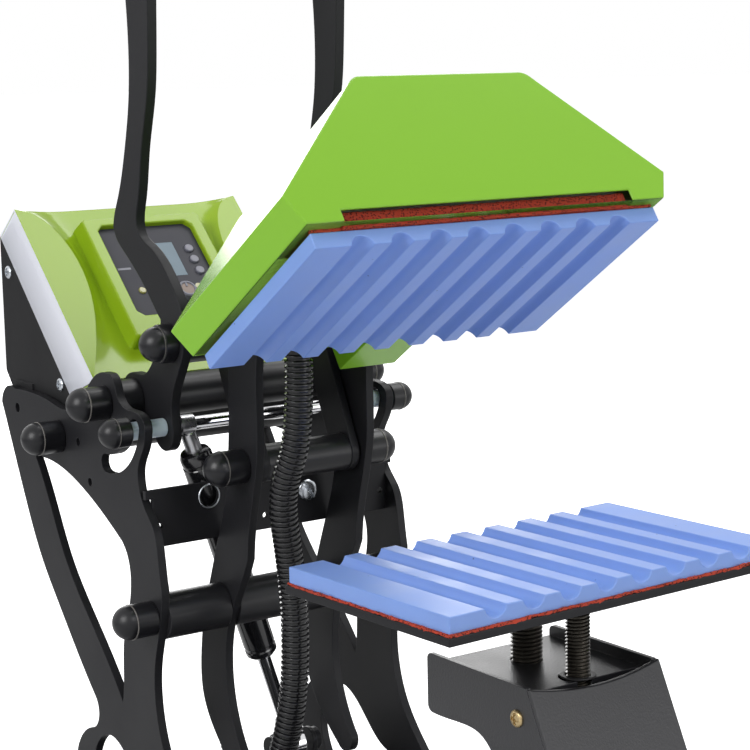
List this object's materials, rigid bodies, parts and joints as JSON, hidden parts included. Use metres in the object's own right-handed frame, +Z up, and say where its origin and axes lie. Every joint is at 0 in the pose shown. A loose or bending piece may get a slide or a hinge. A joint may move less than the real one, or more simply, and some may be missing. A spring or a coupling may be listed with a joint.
{
  "type": "cap heat press",
  "caption": "Lever-operated toggle heat press with a tilting heated head, grooved rubber pads, height-adjustable lower pad and slanted control box.",
  "frame": {"origin": "on the table, under the middle of the press's box", "axes": "+Z up, -Y towards the lower pad at the operator's end, +Y towards the control box, +X across the press along its pivots"},
  "size_m": [0.233, 0.52, 0.568],
  "materials": {
    "black_plate": "satin powder coat",
    "black_plastic": "moulded, slightly glossy",
    "rubber": "matte",
    "steel": "turned",
    "chrome": "polished",
    "zinc_yellow": "yellow zinc plate",
    "black_screw": "black oxide, oiled",
    "pad_blue": "matte silicone",
    "sponge_red": "open-pored silicone sponge",
    "head_green": "gloss paint",
    "box_lime": "gloss with white side bands",
    "panel_grey": "film overlay",
    "lcd": "display window",
    "lamp_yellow": "tinted lens",
    "button_pale": "moulded",
    "board": "solder mask",
    "aluminium": "cast and milled",
    "board_insulation": "fibre board",
    "nylon": "translucent nylon"
  },
  "bodies": {
    "frame": {"left_side_plate": "black_plate", "right_side_plate": "black_plate", "cross_plate": "black_plate", "pivot_shafts": "steel", "rear_tie_tube": "black_plate", "spacer_tubes": "black_plate", "frame_dome_caps": "black_screw", "base_tray": "black_plate", "rubber_feet": "rubber", "plate_screws": "black_screw", "press_pedestal": "black_plate", "pedestal_cover": "black_plate", "frame_screws": "zinc_yellow", "guide_bush": "black_plastic", "spring_anchor": "black_plate", "control_box_shell": "box_lime", "control_box_back": "black_plate", "control_panel": "panel_grey", "lcd_window": "lcd", "indicator_lamps": "lamp_yellow", "circuit_board": "board", "power_module": "black_plastic", "power_inlet": "black_plastic", "rocker_housing": "black_plastic", "wire_conduit": "black_plastic"},
    "handle": {"left_handle_arm": "black_plate", "right_handle_arm": "black_plate", "handle_hub": "black_plate", "handle_bar": "steel", "hand_grip": "rubber", "guide_rod": "chrome", "guide_sleeves": "nylon", "link_shaft": "black_plate", "handle_dome_caps": "black_screw"},
    "toggle": {"toggle_links": "black_plate", "toggle_tube": "black_plate"},
    "press_head": {"left_press_lever": "black_plate", "right_press_lever": "black_plate", "lever_dome_caps": "black_screw", "head_pad": "pad_blue", "head_sponge": "sponge_red", "heating_block": "aluminium", "insulation_board": "board_insulation", "head_bracket": "black_plate", "neck_screws": "steel", "head_cover": "head_green", "conduit_gland": "black_plastic"},
    "gas_cylinder": {"spring_cylinder": "black_plate"},
    "gas_rod": {"spring_rod": "chrome"},
    "platen": {"lower_plate": "black_plate", "lower_sponge": "sponge_red", "lower_pad": "pad_blue", "guide_screw": "black_screw"},
    "pressure_screw": {"pressure_screw": "black_screw", "pressure_knob": "black_plastic"},
    "up_button": {"up_button": "button_pale"},
    "down_button": {"down_button": "button_pale"},
    "mode_button": {"mode_button": "button_pale"},
    "set_knob": {"set_knob": "black_plastic"},
    "rocker": {"rocker_switch": "black_plastic"}
  },
  "joints": [
    {"name": "handle_swing", "type": "hinge", "parent": "frame", "child": "handle", "pos_m": [0, 0.113, 0.298], "axis": [1, 0, 0], "range_deg": [0, 71.8]},
    {"name": "press_tilt", "type": "hinge", "parent": "frame", "child": "press_head", "pos_m": [0, 0.0668, 0.1814], "axis": [1, 0, 0], "range_deg": [0, 33.64], "deforming": ["wire_conduit"]},
    {"name": "toggle_swing", "type": "hinge", "parent": "handle", "child": "toggle", "pos_m": [0, 0.0688, 0.3348], "axis": [1, 0, 0], "range_deg": [-113.64, 0]},
    {"name": "gas_spring_swing", "type": "hinge", "parent": "handle", "child": "gas_cylinder", "pos_m": [-0.0512, 0.07969, 0.28601], "axis": [0.9995, 0.0271, -0.0186], "range_deg": [-81.38, 0]},
    {"name": "gas_spring_stroke", "type": "slide", "parent": "gas_cylinder", "child": "gas_rod", "axis": [0.3562, 0.1112, -0.9278], "range_m": [-0.0229, 0]},
    {"name": "platen_height", "type": "slide", "parent": "frame", "child": "platen", "axis": [0, 0, 1], "range_m": [-0.01, 0]},
    {"name": "pressure_screw_turn", "type": "hinge", "parent": "platen", "child": "pressure_screw", "pos_m": [0.00169, -0.15951, 0.17], "axis": [0, 0, 1], "range_deg": [-1800, 0]},
    {"name": "up_button_press", "type": "slide", "parent": "frame", "child": "up_button", "axis": [0, 0.696, -0.718], "range_m": [0, 0.0008], "stiffness_N_per_m": 400},
    {"name": "down_button_press", "type": "slide", "parent": "frame", "child": "down_button", "axis": [0, 0.696, -0.718], "range_m": [0, 0.0008], "stiffness_N_per_m": 400},
    {"name": "mode_button_press", "type": "slide", "parent": "frame", "child": "mode_button", "axis": [0, 0.696, -0.718], "range_m": [0, 0.0008], "stiffness_N_per_m": 400},
    {"name": "set_knob_turn", "type": "hinge", "parent": "frame", "child": "set_knob", "pos_m": [0.007, 0.17893, 0.34667], "axis": [0, -0.696, 0.718], "range_deg": [-140, 140]},
    {"name": "rocker_tip", "type": "hinge", "parent": "frame", "child": "rocker", "pos_m": [0.024, 0.2548, 0.33], "axis": [1, 0, 0], "range_deg": [0, 12]}
  ],
  "couplings": [
    {"joint": "press_tilt", "follows": "handle_swing", "ratio": 0.46852},
    {"joint": "toggle_swing", "follows": "handle_swing", "ratio": -1.5825},
    {"joint": "gas_spring_swing", "follows": "handle_swing", "ratio": -1.1333},
    {"joint": "gas_spring_stroke", "follows": "handle_swing", "m_per_rad": -0.018269},
    {"joint": "pressure_screw_turn", "follows": "platen_height", "rad_per_m": 3141.6}
  ]
}
